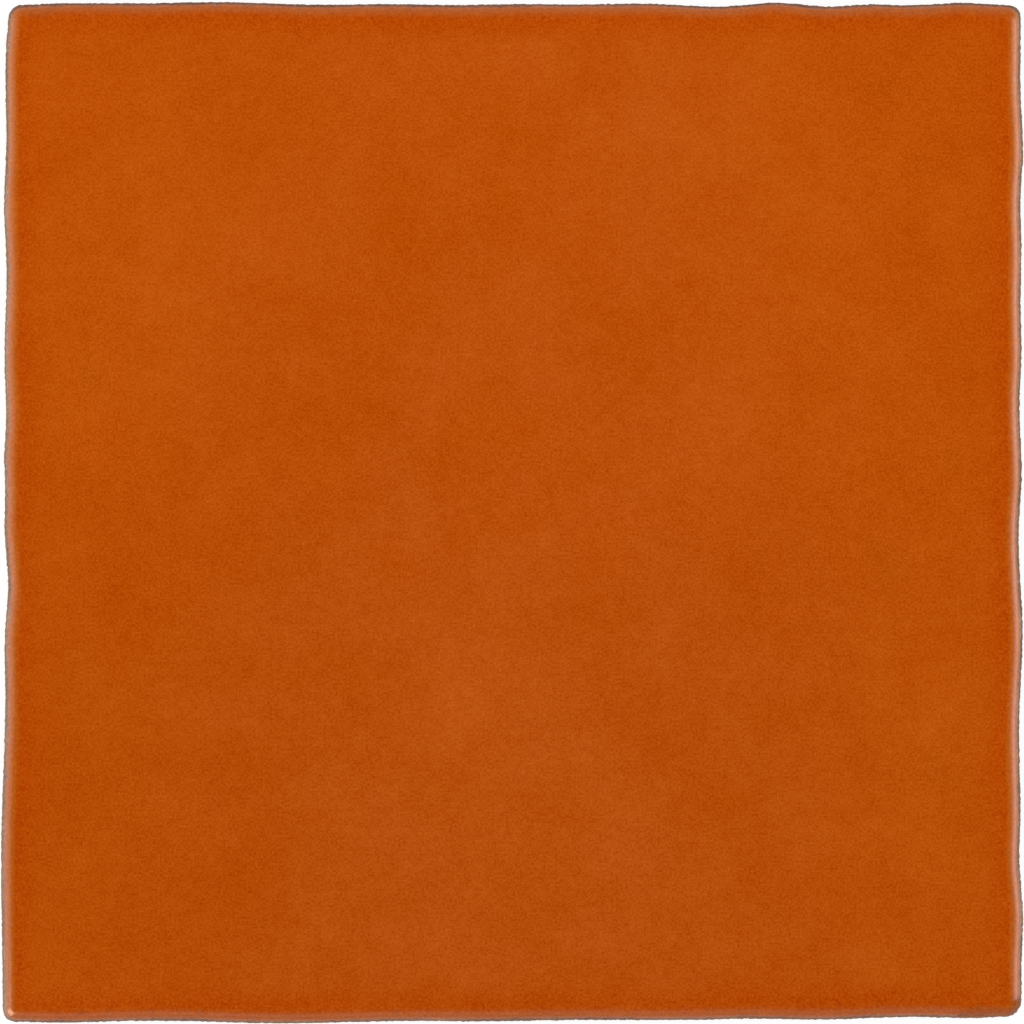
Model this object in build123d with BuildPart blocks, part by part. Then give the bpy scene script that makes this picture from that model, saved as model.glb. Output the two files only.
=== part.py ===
from build123d import *
from math import sqrt
import os

# A square glazed wall tile with a hand-made look. It lies on its back, with its origin in the middle of the
# back: +Z comes out of the glazed face, +Y runs up the wall and +X along the top edge.

# Overall size
tile_width = 132.0
tile_height = 132.0
tile_thickness = 8.5

# Waves of the four edges. Each pair is a place along the side, as a share of its length from the left or
# from the bottom, and how far the edge stands out there, in units of wave_depth. End pairs place the corners.
wave_depth = 0.45
bottom_waves = [
    (0.0, 0.40), (0.045, 0.62), (0.12, 0.20), (0.18, 0.20), (0.26, 0.86), (0.41, 0.15), (0.46, 0.28),
    (0.55, -0.08), (0.69, -0.20), (0.74, -0.46), (0.80, -0.20), (0.90, -1.0), (0.96, -0.72), (1.0, -1.0),
]
top_waves = [
    (0.0, -0.20), (0.04, 0.05), (0.10, 0.28), (0.15, 0.22), (0.20, 0.60), (0.27, 0.08), (0.32, -0.20),
    (0.37, 0.02), (0.455, -0.26), (0.505, 0.03), (0.56, -0.12), (0.64, 0.05), (0.713, -0.62), (0.765, 0.40),
    (0.81, -0.76), (0.85, -0.08), (0.885, -0.36), (0.945, 0.34), (1.0, -0.20),
]
left_waves = [
    (0.0, 0.52), (0.10, 0.85), (0.167, 1.0), (0.25, 0.32), (0.34, -0.15), (0.375, -0.02), (0.43, -1.0),
    (0.48, 0.0), (0.525, -0.13), (0.55, 0.13), (0.59, -0.42), (0.64, 0.0), (0.75, -0.50), (0.805, 0.18),
    (0.85, -0.38), (0.90, -0.36), (0.96, -0.52), (1.0, -1.0),
]
right_waves = [
    (0.0, 0.15), (0.06, 0.20), (0.108, 0.60), (0.157, -0.45), (0.20, -0.12), (0.25, -0.38), (0.31, -0.38),
    (0.373, 0.51), (0.435, -0.22), (0.49, -0.58), (0.53, 0.20), (0.61, -0.40), (0.656, 0.20), (0.70, -0.08),
    (0.765, 0.14), (0.81, -0.12), (0.855, 0.62), (0.895, 0.12), (1.0, -0.06),
]

# Corners in plan, at the widest line of the sides
bottom_left_radius = 1.75
bottom_right_radius = 2.3
top_right_radius = 1.45
top_left_radius = 1.95

# Sides: a bevel at the foot, then a slight lean inwards up to the rounded rim of the face
back_bevel_height = 0.9
back_bevel_width = 0.6
side_lean = 0.25
rim_radius = 1.2

# Face: flat in the middle, falling along an arc from there to the sides, its width taken from the rim inwards
face_fall = 0.25
face_fall_width = 4.0
face_corner_radius = 4.5
face_fall_steps = 3

# Back: a grid of shallow keys that grip the adhesive, between ribs and a plain border
key_size = 12.2
key_depth = 0.6
key_wall_lean = 20.0
rib_width = 2.6
back_border = 6.5


def wavy_outline(inset):
    """Draw the tile's outline moved in by inset: four wavy sides, joined by tangent corner arcs."""
    half_width = tile_width / 2 - inset
    half_height = tile_height / 2 - inset
    bottom = [
        Vector(half_width * (2 * share - 1), -half_height - wave_depth * out) for share, out in bottom_waves
    ]
    top = [Vector(half_width * (2 * share - 1), half_height + wave_depth * out) for share, out in top_waves]
    left = [
        Vector(-half_width - wave_depth * out, half_height * (2 * share - 1)) for share, out in left_waves
    ]
    right = [
        Vector(half_width + wave_depth * out, half_height * (2 * share - 1)) for share, out in right_waves
    ]

    # Each corner is where two sides' end waves meet, and its arc cuts both of them back by the radius
    for level, level_end, upright, upright_end, radius in (
        (bottom, 0, left, 0, bottom_left_radius),
        (bottom, -1, right, 0, bottom_right_radius),
        (top, -1, right, -1, top_right_radius),
        (top, 0, left, -1, top_left_radius),
    ):
        corner = Vector(upright[upright_end].X, level[level_end].Y)
        along = 1 if level_end == 0 else -1
        up = 1 if upright_end == 0 else -1
        cut = max(radius - inset, radius / 3)
        level[level_end] = corner + Vector(along * cut, 0)
        upright[upright_end] = corner + Vector(0, up * cut)
        TangentArc(level[level_end], upright[upright_end], tangent=(-along, 0))

    Spline(*bottom, tangents=((1, 0), (1, 0)))
    Spline(*right, tangents=((0, 1), (0, 1)))
    Spline(*top, tangents=((1, 0), (1, 0)))
    Spline(*left, tangents=((0, 1), (0, 1)))


fall_reach = rim_radius + face_fall_width
fall_radius = (fall_reach**2 + face_fall**2) / (2 * face_fall)
rim_height = tile_thickness - face_fall

with BuildPart() as tile:
    # Bevelled foot and leaning sides, and the first step of the falling face
    for height, inset in ((0, back_bevel_width), (back_bevel_height, 0), (rim_height, side_lean)):
        with BuildSketch(Plane.XY.offset(height)):
            with BuildLine():
                wavy_outline(inset)
            make_face()

    # The rest of the falling face, up to its flat middle
    for step in range(1, face_fall_steps + 1):
        to_flat = face_fall_width * (1 - step / face_fall_steps)
        inset = side_lean + fall_reach - to_flat
        height = tile_thickness - fall_radius + sqrt(fall_radius**2 - to_flat**2)
        with BuildSketch(Plane.XY.offset(height)):
            RectangleRounded(
                tile_width - 2 * inset, tile_height - 2 * inset, face_corner_radius * step / face_fall_steps
            )
    loft(ruled=True)

    rim = tile.edges().filter_by_position(Axis.Z, rim_height - 0.001, rim_height + 0.001)
    fillet(rim, rim_radius)

    # Keys in the back, as many as fit inside the border
    key_pitch = key_size + rib_width
    keys_across = int((tile_width - 2 * back_border + rib_width) // key_pitch)
    keys_up = int((tile_height - 2 * back_border + rib_width) // key_pitch)
    with BuildSketch(Plane.XY):
        with GridLocations(key_pitch, key_pitch, keys_across, keys_up):
            Rectangle(key_size, key_size)
    extrude(amount=key_depth, taper=key_wall_lean, mode=Mode.SUBTRACT)

tile.part.label = "tile"

os.makedirs("parts", exist_ok=True)
export_step(tile.part, "parts/tile.step")
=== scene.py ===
import math

import bpy
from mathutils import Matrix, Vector, kdtree


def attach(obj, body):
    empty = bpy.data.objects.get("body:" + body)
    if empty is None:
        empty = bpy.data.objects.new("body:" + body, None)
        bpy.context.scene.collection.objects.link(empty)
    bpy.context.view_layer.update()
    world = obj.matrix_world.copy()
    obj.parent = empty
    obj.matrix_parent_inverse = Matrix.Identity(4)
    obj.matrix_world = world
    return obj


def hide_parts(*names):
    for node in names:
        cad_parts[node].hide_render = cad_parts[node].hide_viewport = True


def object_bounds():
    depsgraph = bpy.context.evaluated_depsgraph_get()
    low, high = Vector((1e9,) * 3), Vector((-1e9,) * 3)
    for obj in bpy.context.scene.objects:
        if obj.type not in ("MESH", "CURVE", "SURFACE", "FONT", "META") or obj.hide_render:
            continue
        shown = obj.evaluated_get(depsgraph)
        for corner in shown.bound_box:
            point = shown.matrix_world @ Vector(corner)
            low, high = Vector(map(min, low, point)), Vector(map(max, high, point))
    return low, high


# A glazed wall tile lying face up, seen from straight above

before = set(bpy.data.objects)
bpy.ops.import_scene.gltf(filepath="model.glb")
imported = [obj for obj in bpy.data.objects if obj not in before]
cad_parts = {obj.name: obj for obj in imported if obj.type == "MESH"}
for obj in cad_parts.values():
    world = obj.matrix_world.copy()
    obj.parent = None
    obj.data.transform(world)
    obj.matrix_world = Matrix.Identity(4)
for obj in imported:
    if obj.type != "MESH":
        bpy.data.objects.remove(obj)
cadLow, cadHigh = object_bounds()
print("frame loaded", list(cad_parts))


# small helpers

def deselectAll():
    bpy.ops.object.select_all(action="DESELECT")


def takeUp(piece):
    deselectAll()
    piece.select_set(True)
    bpy.context.view_layer.objects.active = piece


def editWith(mode):
    bpy.ops.object.mode_set(mode="EDIT")
    bpy.ops.mesh.select_mode(type=mode)


def selectWhere(piece, kind, test):
    # picks edges or faces by their place, and leaves the rest unselected
    bpy.ops.mesh.select_mode(type="EDGE" if kind == "edges" else "FACE")
    bpy.ops.mesh.select_all(action="DESELECT")
    bpy.ops.object.mode_set(mode="OBJECT")
    mesh = piece.data
    for item in getattr(mesh, kind):
        if kind == "edges":
            item.select = all(test(mesh.vertices[v].co) for v in item.vertices)
        else:
            item.select = test(item.center)
    bpy.ops.object.mode_set(mode="EDIT")


def applyModifiers(piece):
    takeUp(piece)
    for modifier in list(piece.modifiers):
        bpy.ops.object.modifier_apply(modifier=modifier.name)


# the tile: outline taken from the CAD form, then risen ring by ring

tileLook = {
    "width": 0.132,            # straight width between the two sides, before the waves
    "cornerRadius": 0.0019,
    "cornerSegments": 8,
    "cornerWear": 0.00010,     # how much rounder the top right corner is worn
    "cornerWearReach": 0.0022,
    "sideParts": 5,
    "sideCuts": 99,            # for each of those parts
    "traceHeight": 0.0040,     # where the outline is taken off the CAD form
    "widestHeight": 0.0009,
    "footInset": 0.0006,
    "sideLean": 0.00025,
    "rimRadius": 0.00135,
    "rimSteps": 9,
    "faceFall": 0.00025,
    "fallReach": 0.0052,       # from the lean inwards to the flat of the face
    "fallSpread": 1.3,         # rings lie closer together near the rim
    "sideRings": 4,
    "fallRings": 5,
    "formMerge": 1e-6,
    "tileMerge": 1e-7,
    "levelSlack": 1e-5,        # what still counts as the same height
    "lineSlack": 1e-4,
    "smoothAngle": 32,
}


def copyForm(s):
    # merged copy of the CAD node, only to take the outline from
    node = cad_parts["tile"]
    takeUp(node)
    bpy.ops.object.duplicate()
    form = bpy.context.active_object
    form.name = "tileForm"
    editWith("VERT")
    bpy.ops.mesh.select_all(action="SELECT")
    bpy.ops.mesh.remove_doubles(threshold=s["formMerge"])
    bpy.ops.object.mode_set(mode="OBJECT")
    return form


def traceOutline(form, s):
    half = s["width"] / 2
    sideHeight = cadHigh.z - s["faceFall"] - s["widestHeight"]
    leanThere = s["sideLean"] * (s["traceHeight"] - s["widestHeight"]) / sideHeight
    deselectAll()
    bpy.ops.mesh.primitive_plane_add(size=s["width"] - 2 * leanThere, location=(0, 0, s["traceHeight"]))
    tile = bpy.context.active_object
    tile.name = "glazedTile"
    bpy.ops.object.transform_apply(location=True, rotation=True, scale=True)
    editWith("VERT")
    bpy.ops.mesh.select_all(action="SELECT")
    bpy.ops.mesh.bevel(offset=s["cornerRadius"], segments=s["cornerSegments"], affect="VERTICES")

    # the four long edges are cut fine enough for the waves
    bpy.ops.object.mode_set(mode="OBJECT")
    mesh = tile.data
    for edge in mesh.edges:
        a, b = (mesh.vertices[v].co for v in edge.vertices)
        edge.select = (a - b).length > half
    for item in list(mesh.vertices) + list(mesh.polygons):
        item.select = False
    editWith("EDGE")
    bpy.ops.mesh.subdivide(number_cuts=s["sideParts"] - 1)
    bpy.ops.mesh.subdivide(number_cuts=s["sideCuts"])
    bpy.ops.object.mode_set(mode="OBJECT")

    wrap = tile.modifiers.new("wrap", "SHRINKWRAP")
    wrap.target = form
    wrap.wrap_method = "NEAREST_SURFACEPOINT"
    applyModifiers(tile)

    # widened by the lean and laid flat at the widest height
    editWith("FACE")
    bpy.ops.mesh.select_all(action="SELECT")
    grow = half / (half - leanThere)
    for stretch in (grow, 1):     # flattened twice, since once leaves a trace of height
        bpy.ops.transform.resize(value=(stretch, stretch, 0), center_override=(0, 0, s["widestHeight"]))

    # the top right corner is worn rounder
    bpy.ops.mesh.select_mode(type="VERT")
    bpy.ops.mesh.select_all(action="DESELECT")
    bpy.ops.object.mode_set(mode="OBJECT")
    max(tile.data.vertices, key=lambda v: v.co.x + v.co.y).select = True
    bpy.ops.object.mode_set(mode="EDIT")
    bpy.ops.transform.translate(
        value=(-s["cornerWear"], -s["cornerWear"], 0), use_proportional_edit=True,
        proportional_edit_falloff="SMOOTH", proportional_size=s["cornerWearReach"],
    )
    bpy.ops.mesh.select_mode(type="FACE")
    bpy.ops.mesh.select_all(action="SELECT")
    return tile


def riseTo(s, state, height, inset):
    # extrudes the open face up and draws it in, keeping the waves of its edge
    half = s["width"] / 2
    bpy.ops.mesh.extrude_region_move(TRANSFORM_OT_translate={"value": (0, 0, height - state["height"])})
    shrink = (half - inset) / (half - state["inset"])
    bpy.ops.transform.resize(value=(shrink, shrink, 1), center_override=(0, 0, height))
    state["height"], state["inset"] = height, inset


def riseRings(tile, s):
    top = cadHigh.z
    state = {"height": s["widestHeight"], "inset": 0.0}
    flatInset = s["sideLean"] + s["fallReach"]
    fallRadius = (s["fallReach"] ** 2 + s["faceFall"] ** 2) / (2 * s["faceFall"])

    def faceHeight(inset):
        return top - (flatInset - inset) ** 2 / (2 * fallRadius)

    # the rim is an arc from the side up to where the face's own slope meets it
    centreInset = s["sideLean"] + s["rimRadius"]
    slope = (flatInset - centreInset) / fallRadius
    lastTurn = math.pi / 2 - slope
    rimInset = centreInset - s["rimRadius"] * math.cos(lastTurn)
    rimFoot = faceHeight(rimInset) - s["rimRadius"] * math.sin(lastTurn)
    for ring in range(1, s["sideRings"] + 1):
        share = ring / s["sideRings"]
        riseTo(s, state, s["widestHeight"] + (rimFoot - s["widestHeight"]) * share, s["sideLean"] * share)
    for step in range(s["rimSteps"]):
        before, after = (lastTurn * (step + more) / s["rimSteps"] for more in (0, 1))
        bpy.ops.mesh.inset(
            thickness=s["rimRadius"] * (math.cos(before) - math.cos(after)),
            depth=s["rimRadius"] * (math.sin(after) - math.sin(before)),
            use_even_offset=True,
        )
    state["height"], state["inset"] = faceHeight(rimInset), rimInset
    for ring in range(1, s["fallRings"] + 1):
        share = (ring / s["fallRings"]) ** s["fallSpread"]
        inset = rimInset + (flatInset - rimInset) * share
        riseTo(s, state, faceHeight(inset), inset)

    # foot: the bevel under the widest line
    low = s["widestHeight"] + s["levelSlack"]
    selectWhere(tile, "polygons", lambda co: co.z < low)
    bpy.ops.mesh.delete(type="ONLY_FACE")
    selectWhere(tile, "edges", lambda co: co.z < low)
    bpy.ops.mesh.extrude_region_move(TRANSFORM_OT_translate={"value": (0, 0, -s["widestHeight"])})
    shrink = 1 - s["footInset"] / (s["width"] / 2)
    bpy.ops.transform.resize(value=(shrink, shrink, 1), center_override=(0, 0, 0))
    bpy.ops.object.mode_set(mode="OBJECT")


keyLook = {
    "across": 8,
    "size": 0.0122,
    "rib": 0.0026,
    "depth": 0.0006,
    "wallLean": 20.0,
}
keyPitch = keyLook["size"] + keyLook["rib"]
keysReach = keyPitch * keyLook["across"] / 2     # from the middle out to where the border begins


def addBack(tile, s, k):
    deselectAll()
    bpy.ops.mesh.primitive_grid_add(
        x_subdivisions=k["across"], y_subdivisions=k["across"], size=2 * keysReach, location=(0, 0, 0)
    )
    editWith("FACE")
    bpy.ops.mesh.select_all(action="SELECT")
    bpy.ops.mesh.flip_normals()
    bpy.ops.mesh.inset(thickness=k["rib"] / 2, use_individual=True)
    wall = k["depth"] * math.tan(math.radians(k["wallLean"]))
    bpy.ops.mesh.inset(thickness=wall, depth=-k["depth"], use_individual=True)
    bpy.ops.object.mode_set(mode="OBJECT")
    tile.select_set(True)
    bpy.context.view_layer.objects.active = tile
    bpy.ops.object.join()

    # the border between the keys and the foot
    editWith("EDGE")
    bpy.ops.mesh.select_all(action="DESELECT")
    bpy.ops.mesh.select_non_manifold(extend=False)
    bpy.ops.mesh.fill(use_beauty=True)
    bpy.ops.mesh.select_all(action="SELECT")
    bpy.ops.mesh.remove_doubles(threshold=s["tileMerge"])
    bpy.ops.mesh.normals_make_consistent(inside=False)
    bpy.ops.object.mode_set(mode="OBJECT")
    print("back keyed, border from", round(keysReach * 1000, 1), "mm")


grainLook = {
    "depth": 0.00013,     # how deep the sandy grain of the sides goes
    "size": 0.00042,
    "detail": 1,
    "intensity": 1.4,
    "contrast": 2.0,
    "upTo": 0.0076,       # none above this height
    "rimFade": 0.0012,    # fades in over this much below it
    "footFade": 0.0007,   # and over this much above the foot
}


def roughenSides(tile, g):
    group = tile.vertex_groups.new(name="sides")
    for v in tile.data.vertices:
        if max(abs(v.co.x), abs(v.co.y)) < keysReach:
            continue
        nearFoot = min(1.0, v.co.z / g["footFade"])
        nearRim = min(1.0, max(0.0, (g["upTo"] - v.co.z) / g["rimFade"]))
        weight = nearFoot * nearRim
        if weight > 0:
            group.add([v.index], weight, "REPLACE")
    cloud = bpy.data.textures.new("sandGrain", "CLOUDS")
    cloud.noise_scale = g["size"]
    cloud.noise_depth = g["detail"]
    cloud.intensity, cloud.contrast = g["intensity"], g["contrast"]
    sand = tile.modifiers.new("sand", "DISPLACE")
    sand.texture = cloud
    sand.texture_coords = "LOCAL"
    sand.vertex_group = group.name
    sand.strength = g["depth"]
    sand.mid_level = 1.0      # pushes inwards
    applyModifiers(tile)
    # no grain stands out past the CAD box
    for v in tile.data.vertices:
        v.co.x = min(max(v.co.x, cadLow.x), cadHigh.x)
        v.co.y = min(max(v.co.y, cadLow.y), cadHigh.y)


def markRim(tile, s):
    # distance in millimetres from the wavy edge, for the glaze
    mesh = tile.data
    widest = [v.co for v in mesh.vertices if abs(v.co.z - s["widestHeight"]) < s["lineSlack"]]
    tree = kdtree.KDTree(len(widest))
    for number, co in enumerate(widest):
        tree.insert((co.x, co.y, 0), number)
    tree.balance()
    mark = mesh.attributes.new("rimDistance", "FLOAT", "POINT")
    for v in mesh.vertices:
        away = tree.find((v.co.x, v.co.y, 0))[2]
        mark.data[v.index].value = away * 1000


form = copyForm(tileLook)
tile = traceOutline(form, tileLook)
riseRings(tile, tileLook)
addBack(tile, tileLook, keyLook)
markRim(tile, tileLook)
roughenSides(tile, grainLook)
takeUp(tile)
bpy.ops.object.shade_smooth_by_angle(angle=math.radians(tileLook["smoothAngle"]))
bpy.data.objects.remove(form)
tile.data.materials.clear()
print("tile modelled,", len(tile.data.polygons), "faces")


# shader wiring

class Wire:  # one output socket: sums and products of it add Math nodes
    def __init__(self, board, socket):
        self.board, self.socket = board, socket

    def join(self, operation, first, second):
        return self.board.add("ShaderNodeMath", {"operation": operation}, {0: first, 1: second})

    def __add__(self, other):
        return self.join("ADD", self, other)

    def __radd__(self, other):
        return self.join("ADD", other, self)

    def __sub__(self, other):
        return self.join("SUBTRACT", self, other)

    def __rsub__(self, other):
        return self.join("SUBTRACT", other, self)

    def __mul__(self, other):
        return self.join("MULTIPLY", self, other)

    def __rmul__(self, other):
        return self.join("MULTIPLY", other, self)

    def __truediv__(self, other):
        return self.join("DIVIDE", self, other)

    def __pow__(self, other):
        return self.join("POWER", self, other)


class Board:  # the node tree of one material or of the world
    def __init__(self, owner):
        owner.use_nodes = True
        self.tree = owner.node_tree
        self.tree.nodes.clear()

    def add(self, kind, settings=None, sockets=None, output=0):
        node = self.tree.nodes.new(kind)
        for name, value in (settings or {}).items():
            setattr(node, name, value)
        for name, value in (sockets or {}).items():
            target = node.inputs[name]
            if isinstance(value, Wire):
                self.tree.links.new(value.socket, target)
            else:
                target.default_value = value
        return Wire(self, node.outputs[output]) if len(node.outputs) else node

    def vector(self, operation, first, second, third=None, output=0):
        sockets = {0: first, 1: second}
        if third is not None:
            sockets[2] = third
        return self.add("ShaderNodeVectorMath", {"operation": operation}, sockets, output)

    def size(self, value):
        return self.add("ShaderNodeMath", {"operation": "ABSOLUTE"}, {0: value})

    def parts(self, place):
        split = self.add("ShaderNodeSeparateXYZ", {}, {0: place})
        return [Wire(self, output) for output in split.socket.node.outputs]

    def noise(self, place, scale, detail, roughness, offset):
        moved = self.vector("ADD", place, offset)
        return self.add("ShaderNodeTexNoise", {}, {
            "Vector": moved, "Scale": scale, "Detail": detail, "Roughness": roughness,
        })

    def ramp(self, value, low, high, first=0.0, last=1.0, smooth=True):
        kind = "SMOOTHSTEP" if smooth else "LINEAR"
        return self.add("ShaderNodeMapRange", {"interpolation_type": kind}, {
            "Value": value, "From Min": low, "From Max": high, "To Min": first, "To Max": last,
        })

    def mixColour(self, factor, first, second, blend="MIX"):
        # sockets 0, 6, 7 and output 2 are the ones for colours
        return self.add("ShaderNodeMix", {"data_type": "RGBA", "blend_type": blend}, {
            0: factor, 6: first, 7: second,
        }, output=2)

    def bump(self, relief):
        # relief in millimetres
        return self.add("ShaderNodeBump", {}, {"Strength": 1.0, "Distance": 0.001, "Height": relief})


clayLook = {
    "pale": (0.320, 0.128, 0.066, 1),         # near the glaze: painted light, the top of the sides lighter
    "dark": (0.240, 0.084, 0.032, 1),         # the clay's own colour on the back; lower on the sides it also stands as painted shade
    "sidesTint": (1.12, 1.65, 2.30, 1),       # painted sheen of the side lamps: paler along the left and right of the tile
    "sheenFrom": 0.9,                          # millimetres up, so the back stays plain
    "sheenTo": 2.2,
    "cornerToned": (0.270, 0.068, 0.0100, 1),     # browner, at the bottom right corner
    "paleFrom": 7.65,                         # millimetres up, and half a blotch more
    "paleTo": 8.4,
    "blotch": (190, 3, 0.6, (0, 0, 0)),       # scale, detail, roughness and place of each pattern
    "sand": (2600, 1, 0.6, (0.3, 0.1, 0.2)),
    "blotchShare": 0.4,
    "sandShare": 0.6,
    "gritFrom": 0.30,
    "gritTo": 0.70,
    "gritDark": 0.45,
    "gritBright": 1.5,
    "roughness": 0.9,
    "bump": 0.06,                             # millimetres
    "sideTurn": 0.002,                        # how softly the sides give way to the top and bottom
    "backTurn": -0.2,                         # faces that look further down than this are bare clay
}


def nearSides(b, place, c):
    # 1 along the left and right of the tile, 0 along its top and bottom
    x, y = b.parts(place)[:2]
    return b.ramp(b.size(x) - b.size(y), -c["sideTurn"], c["sideTurn"])


def clayShader(b, place, c, cornerTone=0.0):
    height = b.parts(place)[2] * 1000
    blotch = b.noise(place, *c["blotch"])
    sand = b.noise(place, *c["sand"])
    # painted light and shade: the sides lighter just under the glaze, darker lower down
    tone = b.ramp(height + blotch, c["paleFrom"], c["paleTo"])
    mixed = blotch * c["blotchShare"] + sand * c["sandShare"]
    grit = b.ramp(mixed, c["gritFrom"], c["gritTo"], c["gritDark"], c["gritBright"])
    colour = b.mixColour(tone, c["dark"], c["pale"])
    # painted sheen: the clay paler and greyer along the left and right, above the foot
    paintedSheen = b.mixColour(1.0, colour, c["sidesTint"], "MULTIPLY")
    aside = nearSides(b, place, c) * b.ramp(height, c["sheenFrom"], c["sheenTo"])
    colour = b.mixColour(aside, colour, paintedSheen)
    colour = b.mixColour(cornerTone, colour, c["cornerToned"])
    greyGrit = b.add("ShaderNodeCombineXYZ", {}, {0: grit, 1: grit, 2: grit})
    colour = b.mixColour(1.0, colour, greyGrit, "MULTIPLY")
    return b.add("ShaderNodeBsdfPrincipled", {}, {
        "Base Color": colour,
        "Roughness": c["roughness"],
        "Normal": b.bump(sand * c["bump"]),
    })


glazeLook = {
    # patterns: scale, detail, roughness and place
    "broad": (24, 2, 0.5, (1.7, 0.4, 0.9)),
    "cloudy": (85, 4, 0.62, (0.2, 2.1, 0.5)),
    "mottle": (300, 2, 0.6, (1.1, 0.2, 0.6)),
    "speck": (1100, 1, 0.6, (0, 0, 0)),
    "fine": (3300, 1, 0.5, (0.6, 0.3, 1.1)),
    "ripple": (200, 1, 0.5, (0.4, 0.7, 0.9)),

    # thick and thin glaze in patches
    "deep": (0.4316, 0.0509, 0.0, 1),         # thick glaze
    "milky": (0.5769, 0.1083, 0.0155, 1),     # thinner glaze
    "noBlue": (0.0, 0.0, 0.0050),             # taken off both
    "patches": 1.08,
    "broadShare": 0.35,
    "cloudyShare": 0.55,

    # the colour wanders over the tile: less blue towards the left and right, lighter towards the top and darker
    # towards the bottom
    "middleTint": (1, 1, 1.1, 1),
    "sidesTint": (1, 1, 0.5, 1),
    "sidesFrom": 0.015,                       # metres from the middle
    "sidesTo": 0.062,
    "sidesWander": 0.03,
    "topTint": (1.020, 1.035, 0.88, 1),
    "bottomTint": (0.930, 0.945, 1.12, 1),
    "topAt": 0.065,
    "topWander": 0.06,

    # bands along the rim, each full up to its first distance and gone at its second, in millimetres
    "rimRed": (0.484, 0.0650, 0.0, 1),        # a redder band just inside the rim
    "reddenedBand": (2.2, 5.4),
    "reddenedWander": 2.2,
    "reddenedShare": 0.8,
    "thin": (0.468, 0.097, 0.0095, 1),        # runs thin over the rim's turn
    "thinBand": (0.75, 1.95),
    "thinWander": (0.9, 0.8),                 # by the specks and by the clouds
    "litThinSides": (0.505, 0.104, 0.0045, 1),   # painted light: a wider, brighter orange turn along the left and right
    "litThinSidesBand": (1.40, 2.05),
    "litThinSidesWander": (0.5, 0.8),
    "paintedHighlightLeft": (0.505, 0.168, 0.0620, 1),    # painted highlight: palest line, along the left and right only, brighter on the right
    "paintedHighlightRight": (0.610, 0.192, 0.0640, 1),
    "paintedHighlightBand": (0.55, 1.15),
    "paintedHighlightWander": 0.5,
    "leftToRight": 0.004,                     # metres from the middle, where left gives way to right

    # the bottom right corner is browner and not hazy
    "dullBrown": (0.385, 0.080, 0.0090, 1),
    "dullPlace": (0.0625, -0.0663, 0.0075),
    "dullBand": (4.2, 5.4),                   # millimetres from that place
    "dullWander": 2.0,
    "dullSink": 0.25,                         # the glaze ends this much higher there

    # sandy grain: how far it shifts the colour, and what it is mixed from
    "grainStep": (0.140, 0.058, 0.0088),
    "mottleShare": 0.34,
    "speckShare": 0.52,
    "fineShare": 1.52,

    "roughness": 0.075,
    "rimRoughness": 0.20,
    "roughBand": (1.0, 2.2),
    "ior": 1.5,
    "swell": 0.015,                           # relief in millimetres, on the face and on the rim
    "rimSwell": 0.13,
    "swellBand": (1.2, 2.6),
    "endHeight": 7.45,                        # millimetres up the side, where the glaze begins
    "fullHeight": 8.0,
    "endWander": (0.6, 0.5),
}


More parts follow.
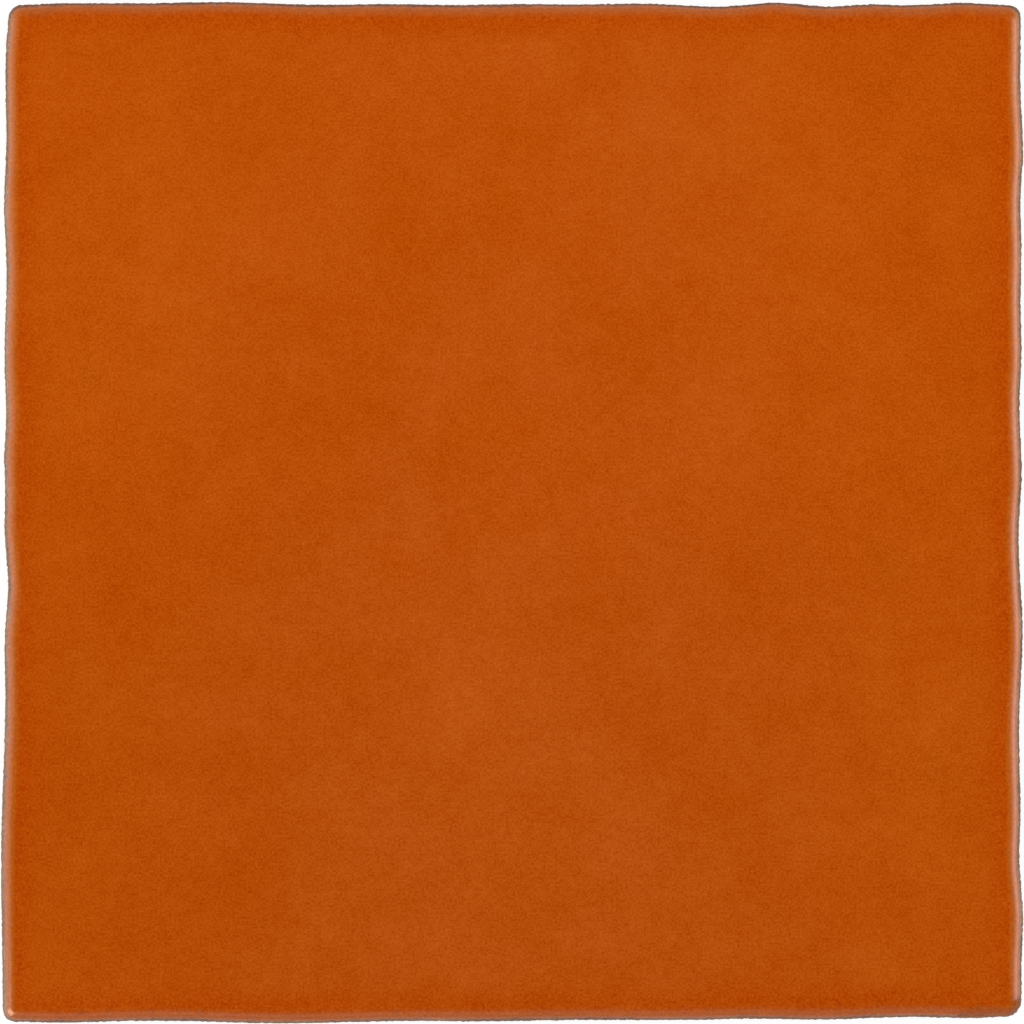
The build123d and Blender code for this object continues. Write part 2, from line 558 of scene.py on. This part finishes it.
def makeTileMaterial(g, c):
    material = bpy.data.materials.new("orangeGlaze")
    b = Board(material)
    place = b.add("ShaderNodeTexCoord", output=3)    # Object coordinates
    away = b.add("ShaderNodeAttribute", {"attribute_name": "rimDistance"}, output=2)    # as a number
    right, up, height = b.parts(place)
    height = height * 1000
    broad, cloudy, mottle, speck, fine = (
        b.noise(place, *g[name]) - 0.5 for name in ("broad", "cloudy", "mottle", "speck", "fine")
    )

    # thick and thin patches
    patches = (broad * g["broadShare"] + cloudy * g["cloudyShare"]) * g["patches"]
    colour = b.mixColour(0.5 + patches, g["deep"], g["milky"])
    colour = b.vector("SUBTRACT", colour, g["noBlue"])
    aside = b.size(right + broad * g["sidesWander"])
    tint = b.mixColour(b.ramp(aside, g["sidesFrom"], g["sidesTo"]), g["middleTint"], g["sidesTint"])
    colour = b.mixColour(1.0, colour, tint, "MULTIPLY")

    # bands along the rim
    sides = nearSides(b, place, c)
    reddened = b.ramp(away + cloudy * g["reddenedWander"], *g["reddenedBand"], 1.0, 0.0)
    colour = b.mixColour(reddened * g["reddenedShare"], colour, g["rimRed"])
    bySpeck, byCloud = g["thinWander"]
    thinned = b.ramp(away + speck * bySpeck + cloudy * byCloud, *g["thinBand"], 1.0, 0.0)
    bySpeck, byCloud = g["litThinSidesWander"]
    # painted light: the rim's turn brighter orange along the left and right
    orange = b.ramp(away + speck * bySpeck + cloudy * byCloud, *g["litThinSidesBand"], 1.0, 0.0) * sides
    # painted highlight of the side lamps on the rim's turn, along the left and right
    edge = b.ramp(away + speck * g["paintedHighlightWander"], *g["paintedHighlightBand"], 1.0, 0.0) * sides
    rightwards = b.ramp(right, -g["leftToRight"], g["leftToRight"])
    colour = b.mixColour(thinned, colour, g["thin"])
    colour = b.mixColour(orange, colour, g["litThinSides"])
    colour = b.mixColour(edge, colour, b.mixColour(rightwards, g["paintedHighlightLeft"], g["paintedHighlightRight"]))

    # the browner corner
    corner = b.vector("DISTANCE", place, g["dullPlace"], output=1) * 1000    # output 1 is the length
    dull = b.ramp(corner + cloudy * g["dullWander"], *g["dullBand"], 1.0, 0.0)
    colour = b.mixColour(thinned * dull, colour, g["dullBrown"])

    upwards = b.ramp(up + broad * g["topWander"], -g["topAt"], g["topAt"])
    tint = b.mixColour(upwards, g["bottomTint"], g["topTint"])
    colour = b.mixColour(1.0, colour, tint, "MULTIPLY")

    # sandy grain over all of it
    grain = mottle * g["mottleShare"] + speck * g["speckShare"] + fine * g["fineShare"]
    colour = b.vector("MULTIPLY_ADD", g["grainStep"], grain, colour)
    colour = b.vector("MAXIMUM", colour, (0.0, 0.0, 0.0))

    relief = b.noise(place, *g["ripple"]) * b.ramp(away, *g["swellBand"], g["rimSwell"], g["swell"])
    rougher = b.ramp(away + speck, *g["roughBand"], g["rimRoughness"] - g["roughness"], 0.0) * (1 - dull)
    glaze = b.add("ShaderNodeBsdfPrincipled", {}, {
        "Base Color": colour,
        "Roughness": g["roughness"] + rougher,
        "IOR": g["ior"],
        "Normal": b.bump(relief),
    })
    clay = clayShader(b, place, c, dull)
    bySpeck, byCloud = g["endWander"]
    cover = b.ramp(
        height + speck * bySpeck + cloudy * byCloud - dull * g["dullSink"], g["endHeight"], g["fullHeight"]
    )
    mixed = b.add("ShaderNodeMixShader", {}, {0: cover, 1: clay, 2: glaze})
    b.add("ShaderNodeOutputMaterial", {}, {"Surface": mixed})
    return material


def makeClayMaterial(c):
    material = bpy.data.materials.new("firedClay")
    b = Board(material)
    place = b.add("ShaderNodeTexCoord", output=3)    # Object coordinates
    b.add("ShaderNodeOutputMaterial", {}, {"Surface": clayShader(b, place, c)})
    return material


tile.data.materials.append(makeTileMaterial(glazeLook, clayLook))
tile.data.materials.append(makeClayMaterial(clayLook))
for face in tile.data.polygons:
    face.material_index = 1 if face.normal.z < clayLook["backTurn"] else 0
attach(tile, "root")
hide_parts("tile")
print("tile glazed")


# camera, straight above

cameraLook = {
    "lens": 1200,
    "sensor": 36,
    "picture": 1024,            # pixels across
    "pixel": 0.12977,           # millimetres of tile to a pixel of the picture
    "shiftRight": -0.00010,
    "shiftUp": 0.00003,
    "level": 0.004,             # height at which a pixel is that size
    "clip": (0.1, 30),
}

camera = bpy.data.cameras.new("camera")
camera.lens = cameraLook["lens"]
camera.sensor_width = cameraLook["sensor"]
camera.clip_start, camera.clip_end = cameraLook["clip"]
cameraObject = bpy.data.objects.new("camera", camera)
bpy.context.scene.collection.objects.link(cameraObject)
reach = cameraLook["pixel"] / 1000 * cameraLook["picture"] * camera.lens / camera.sensor_width
cameraObject.location = (cameraLook["shiftRight"], cameraLook["shiftUp"], cameraLook["level"] + reach)
bpy.context.scene.camera = cameraObject


# studio: pale floor, soft boxes, pale surroundings

studioLook = {
    "floorSize": 6.0,
    "floorDrop": 0.0001,       # the floor lies this far under the tile
    "floorColour": (0.80, 0.80, 0.80, 1),
    "floorShade": (0.20, 0.20, 0.20, 1),   # what the camera sees of it: this much shade, and a glow
    "floorGlow": 0.86,
    "sky": 0.785,              # plain light from all round
    # what the glaze mirrors low down at the sides, at the top, at the bottom and at the corners
    "skySides": 1.8,
    "skyTop": 0.50,
    "skyBottom": 0.42,
    "skyLeftCorners": 0.80,
    "skyRightCorners": 0.18,
    "skyTurn": 0.5,            # how far from the middle each of them is full
    "skySharpness": 3,
    "skyMiddle": 0.0001,       # keeps the division below off zero
    "rightEnd": (0.09, 0.25),  # where the right wall begins to end, and where it is gone
    "rightFrom": 0.1,
    "skyFade": 0.6,            # how the walls fade to the dark above
    "skyFadeFrom": 0.05,
    # heading and height in degrees, slide to the left seen from the tile, width, height, brightness,
    # and whether it lights the tile and whether it is mirrored in it
    "boxes": {
        "rightBox": (0, 24, 0.01, 0.34, 0.78, 1.7, False, True),
        "rightUpperBox": (0, 38, 0.10, 0.20, 0.98, 0.9, False, True),
        "leftFill": (180, 45, 0.0, 0.60, 0.60, 2.0, True, False),
        "rightFill": (0, 45, 0.0, 0.60, 0.60, 1.2, True, False),
        "bottomBox": (270, 45, -0.38, 0.76, 0.60, 0.55, False, True),
        "cornerBox": (217, 26, 0.0, 0.74, 0.95, 8.0, False, True),
    },
    "boxDistance": 1.0,
    "warm": {"cornerBox": (1, 0.86, 0.62)},
}


def addFloor(s):
    deselectAll()
    bpy.ops.mesh.primitive_plane_add(size=s["floorSize"], location=(0, 0, -s["floorDrop"]))
    floor = bpy.context.active_object
    floor.name = "floor"
    bpy.ops.object.transform_apply(location=True, rotation=True, scale=True)
    material = bpy.data.materials.new("paleFloor")
    b = Board(material)
    seen = b.add("ShaderNodeLightPath", output=0)    # camera rays
    plain = b.add("ShaderNodeBsdfDiffuse", {}, {"Color": s["floorColour"]})
    shade = b.add("ShaderNodeBsdfDiffuse", {}, {"Color": s["floorShade"]})
    glow = b.add("ShaderNodeEmission", {}, {"Color": (1, 1, 1, 1), "Strength": s["floorGlow"]})
    bright = b.add("ShaderNodeAddShader", {}, {0: shade, 1: glow})
    mixed = b.add("ShaderNodeMixShader", {}, {0: seen, 1: plain, 2: bright})
    b.add("ShaderNodeOutputMaterial", {}, {"Surface": mixed})
    floor.data.materials.append(material)


def addBoxes(s):
    for name, (heading, height, slide, wide, high, level, lights, mirrored) in s["boxes"].items():
        lamp = bpy.data.lights.new(name, "AREA")
        lamp.shape = "RECTANGLE"
        lamp.size, lamp.size_y = wide, high
        lamp.energy = level * math.pi * wide * high
        lamp.color = s["warm"].get(name, (1, 1, 1))
        lampObject = bpy.data.objects.new(name, lamp)
        bpy.context.scene.collection.objects.link(lampObject)
        a, e = math.radians(heading), math.radians(height)
        towards = Vector((math.cos(a) * math.cos(e), math.sin(a) * math.cos(e), math.sin(e)))
        across = Vector((-math.sin(a), math.cos(a), 0))
        lampObject.location = towards * s["boxDistance"] + across * slide
        lampObject.rotation_euler = towards.to_track_quat("Z", "Y").to_euler()
        lampObject.visible_camera = False
        lampObject.visible_diffuse = lights
        lampObject.visible_glossy = mirrored


def makeWorld(s):
    world = bpy.data.worlds.new("studio")
    bpy.context.scene.world = world
    b = Board(world)
    x, y, z = b.parts(b.add("ShaderNodeTexCoord", output=0))    # the way looked in
    turn, sharpness = s["skyTurn"], s["skySharpness"]
    # pale walls that fade to the dark above, brighter at the sides than at the top and bottom
    sideways = x * x / (x * x + y * y + s["skyMiddle"])
    ends = b.ramp(y, -turn, turn, s["skyBottom"], s["skyTop"])
    corners = b.ramp(x, -turn, turn, s["skyLeftCorners"], s["skyRightCorners"])
    # the right wall ends short of the two right corners
    atRight = b.ramp(x, -s["rightFrom"], s["rightFrom"])
    sides = s["skySides"] * (1 - b.ramp(b.size(y), *s["rightEnd"]) * atRight)
    walls = corners + (sides - corners) * sideways ** sharpness + (ends - corners) * (1 - sideways) ** sharpness
    mirrored = walls * b.ramp((1 - z) ** s["skyFade"], s["skyFadeFrom"], 1.0, smooth=False)
    seen, glossy = (b.add("ShaderNodeLightPath", output=ray) for ray in (0, 3))    # camera rays, glossy rays
    level = s["sky"] + (mirrored - s["sky"]) * glossy
    level = level + (1 - level) * seen
    sky = b.add("ShaderNodeBackground", {}, {"Color": (1, 1, 1, 1), "Strength": level})
    b.add("ShaderNodeOutputWorld", {}, {"Surface": sky})


addFloor(studioLook)
addBoxes(studioLook)
makeWorld(studioLook)
bpy.context.scene.view_settings.view_transform = "Standard"
print("studio lit")
